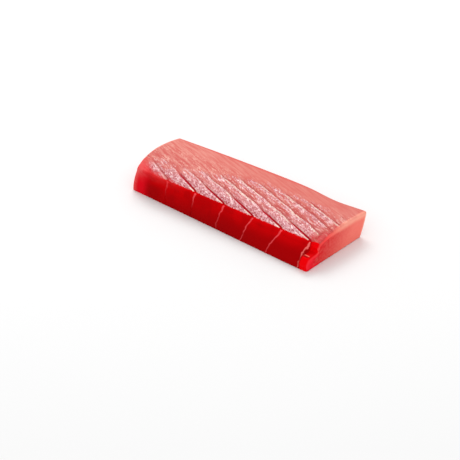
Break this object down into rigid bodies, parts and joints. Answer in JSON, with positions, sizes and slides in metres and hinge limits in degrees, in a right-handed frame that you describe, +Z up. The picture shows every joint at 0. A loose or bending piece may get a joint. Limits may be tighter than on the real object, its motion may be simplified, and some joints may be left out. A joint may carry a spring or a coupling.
{
  "type": "raw tuna loin",
  "caption": "Trimmed block of raw tuna, red and flaking along one long side and paler along the other, cut across at both ends, lying on its flat side.",
  "frame": {"origin": "on the base, under the middle of the bounding box", "axes": "+X along the loin, towards the flat cut end with the ledge; +Y across it, from the red side to the pale side; +Z up"},
  "size_m": [0.2576, 0.0942, 0.0329],
  "materials": {
    "flesh": "wet raw fish flesh, deep red at the front and coral at the back, with pale seams"
  },
  "bodies": {
    "root": {"loin": "flesh"}
  },
  "joints": []
}
